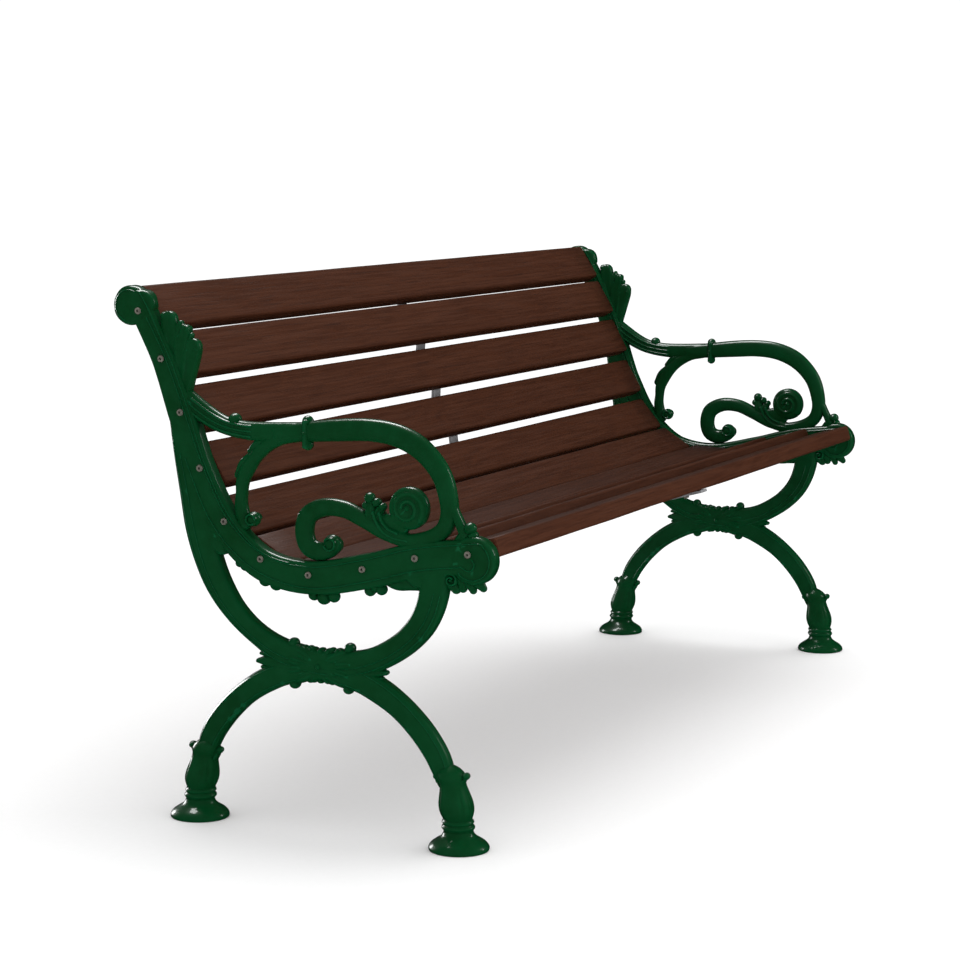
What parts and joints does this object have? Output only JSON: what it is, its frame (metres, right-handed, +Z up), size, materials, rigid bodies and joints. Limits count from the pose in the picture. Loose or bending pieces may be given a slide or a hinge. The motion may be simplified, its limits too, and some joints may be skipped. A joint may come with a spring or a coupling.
{
  "type": "garden bench",
  "caption": "Garden bench with ornamental cast scroll-work end frames, open arm rests, and wooden slats that curve from the high back into the seat.",
  "frame": {"origin": "on the ground, under the middle of the bench", "axes": "+X along the bench, left to right as seen from the front; the sitter faces -Y; +Z up"},
  "size_m": [1.842, 0.646, 0.821],
  "materials": {
    "enamelled_casting": "glossy dark green enamel over cast iron, smooth, with soft cast edges",
    "stained_wood": "dark red-brown stain, satin, with fine long grain",
    "galvanised_screw": "dull galvanised steel with a dark hexagon socket",
    "galvanised_strap": "dull galvanised flat steel bar"
  },
  "bodies": {
    "root": {"left_end_frame": "enamelled_casting", "right_end_frame": "enamelled_casting", "back_slat_1": "stained_wood", "back_slat_2": "stained_wood", "back_slat_3": "stained_wood", "back_slat_4": "stained_wood", "back_slat_5": "stained_wood", "back_slat_6": "stained_wood", "seat_slat_1": "stained_wood", "seat_slat_2": "stained_wood", "seat_slat_3": "stained_wood", "seat_slat_4": "stained_wood", "back_slat_1_left_screw": "galvanised_screw", "back_slat_1_right_screw": "galvanised_screw", "back_slat_1_strap_screw": "galvanised_screw", "back_slat_2_left_screw": "galvanised_screw", "back_slat_2_right_screw": "galvanised_screw", "back_slat_2_strap_screw": "galvanised_screw", "back_slat_3_left_screw": "galvanised_screw", "back_slat_3_right_screw": "galvanised_screw", "back_slat_3_strap_screw": "galvanised_screw", "back_slat_4_left_screw": "galvanised_screw", "back_slat_4_right_screw": "galvanised_screw", "back_slat_4_strap_screw": "galvanised_screw", "back_slat_5_left_screw": "galvanised_screw", "back_slat_5_right_screw": "galvanised_screw", "back_slat_5_strap_screw": "galvanised_screw", "back_slat_6_left_screw": "galvanised_screw", "back_slat_6_right_screw": "galvanised_screw", "back_slat_6_strap_screw": "galvanised_screw", "seat_slat_1_left_screw": "galvanised_screw", "seat_slat_1_right_screw": "galvanised_screw", "seat_slat_1_strap_screw": "galvanised_screw", "seat_slat_2_left_screw": "galvanised_screw", "seat_slat_2_right_screw": "galvanised_screw", "seat_slat_2_strap_screw": "galvanised_screw", "seat_slat_3_left_screw": "galvanised_screw", "seat_slat_3_right_screw": "galvanised_screw", "seat_slat_3_strap_screw": "galvanised_screw", "seat_slat_4_left_screw": "galvanised_screw", "seat_slat_4_right_screw": "galvanised_screw", "seat_slat_4_strap_screw": "galvanised_screw", "centre_strap": "galvanised_strap"}
  },
  "joints": []
}
